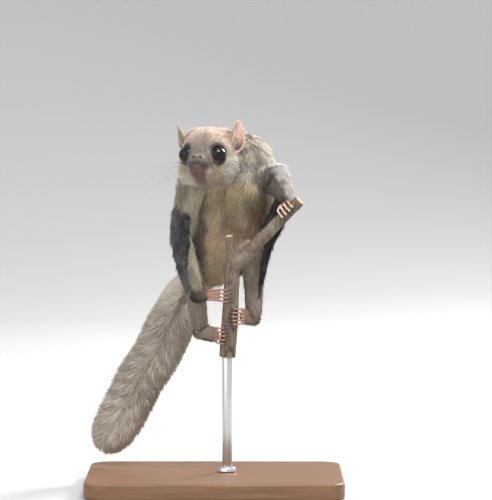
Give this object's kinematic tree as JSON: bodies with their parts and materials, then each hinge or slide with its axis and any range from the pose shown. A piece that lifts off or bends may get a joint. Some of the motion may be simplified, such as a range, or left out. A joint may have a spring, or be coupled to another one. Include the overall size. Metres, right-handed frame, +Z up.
{
  "type": "flying squirrel model on a twig perch with a display stand",
  "caption": "Life-size still model of a flying squirrel clinging upright to a cut oak twig, tail hanging, held by a plain rod and flat base.",
  "frame": {"origin": "middle of the flat underside of the stand's base", "axes": "+Z up, the animal faces -Y, its left side is towards +X, and the tail hangs towards -X"},
  "size_m": [0.124, 0.0939, 0.1789],
  "materials": {
    "fur_back": "soft dense grey-brown fur",
    "fur_belly": "soft cream and olive-beige fur",
    "fur_dark": "blackish fur at the edge of the gliding skin",
    "skin": "thin bare skin with sparse hair",
    "eye": "wet glossy black",
    "bark": "rough grey-brown oak bark",
    "stand_wood": "satin oiled wood",
    "stand_metal": "satin"
  },
  "bodies": {
    "root": {"stand_base": "stand_wood", "stand_rod": "stand_metal", "perch": "bark", "eye_left": "eye", "eye_right": "eye", "head": "fur_back", "ear_left": "skin", "ear_right": "skin", "torso": "fur_back", "rump": "fur_back", "neck": "fur_back", "upper_arm_right": "fur_back", "fore_arm_right": "fur_back", "thigh_right": "fur_back", "shin_right": "fur_back", "hand_right": "skin", "foot_right": "skin", "upper_arm_left": "fur_back", "fore_arm_left": "fur_back", "thigh_left": "fur_back", "shin_left": "fur_back", "hand_left": "skin", "foot_left": "skin", "tail_upper": "fur_back", "tail_lower": "fur_back", "patagium_right": "fur_dark", "patagium_left": "fur_dark"}
  },
  "joints": []
}
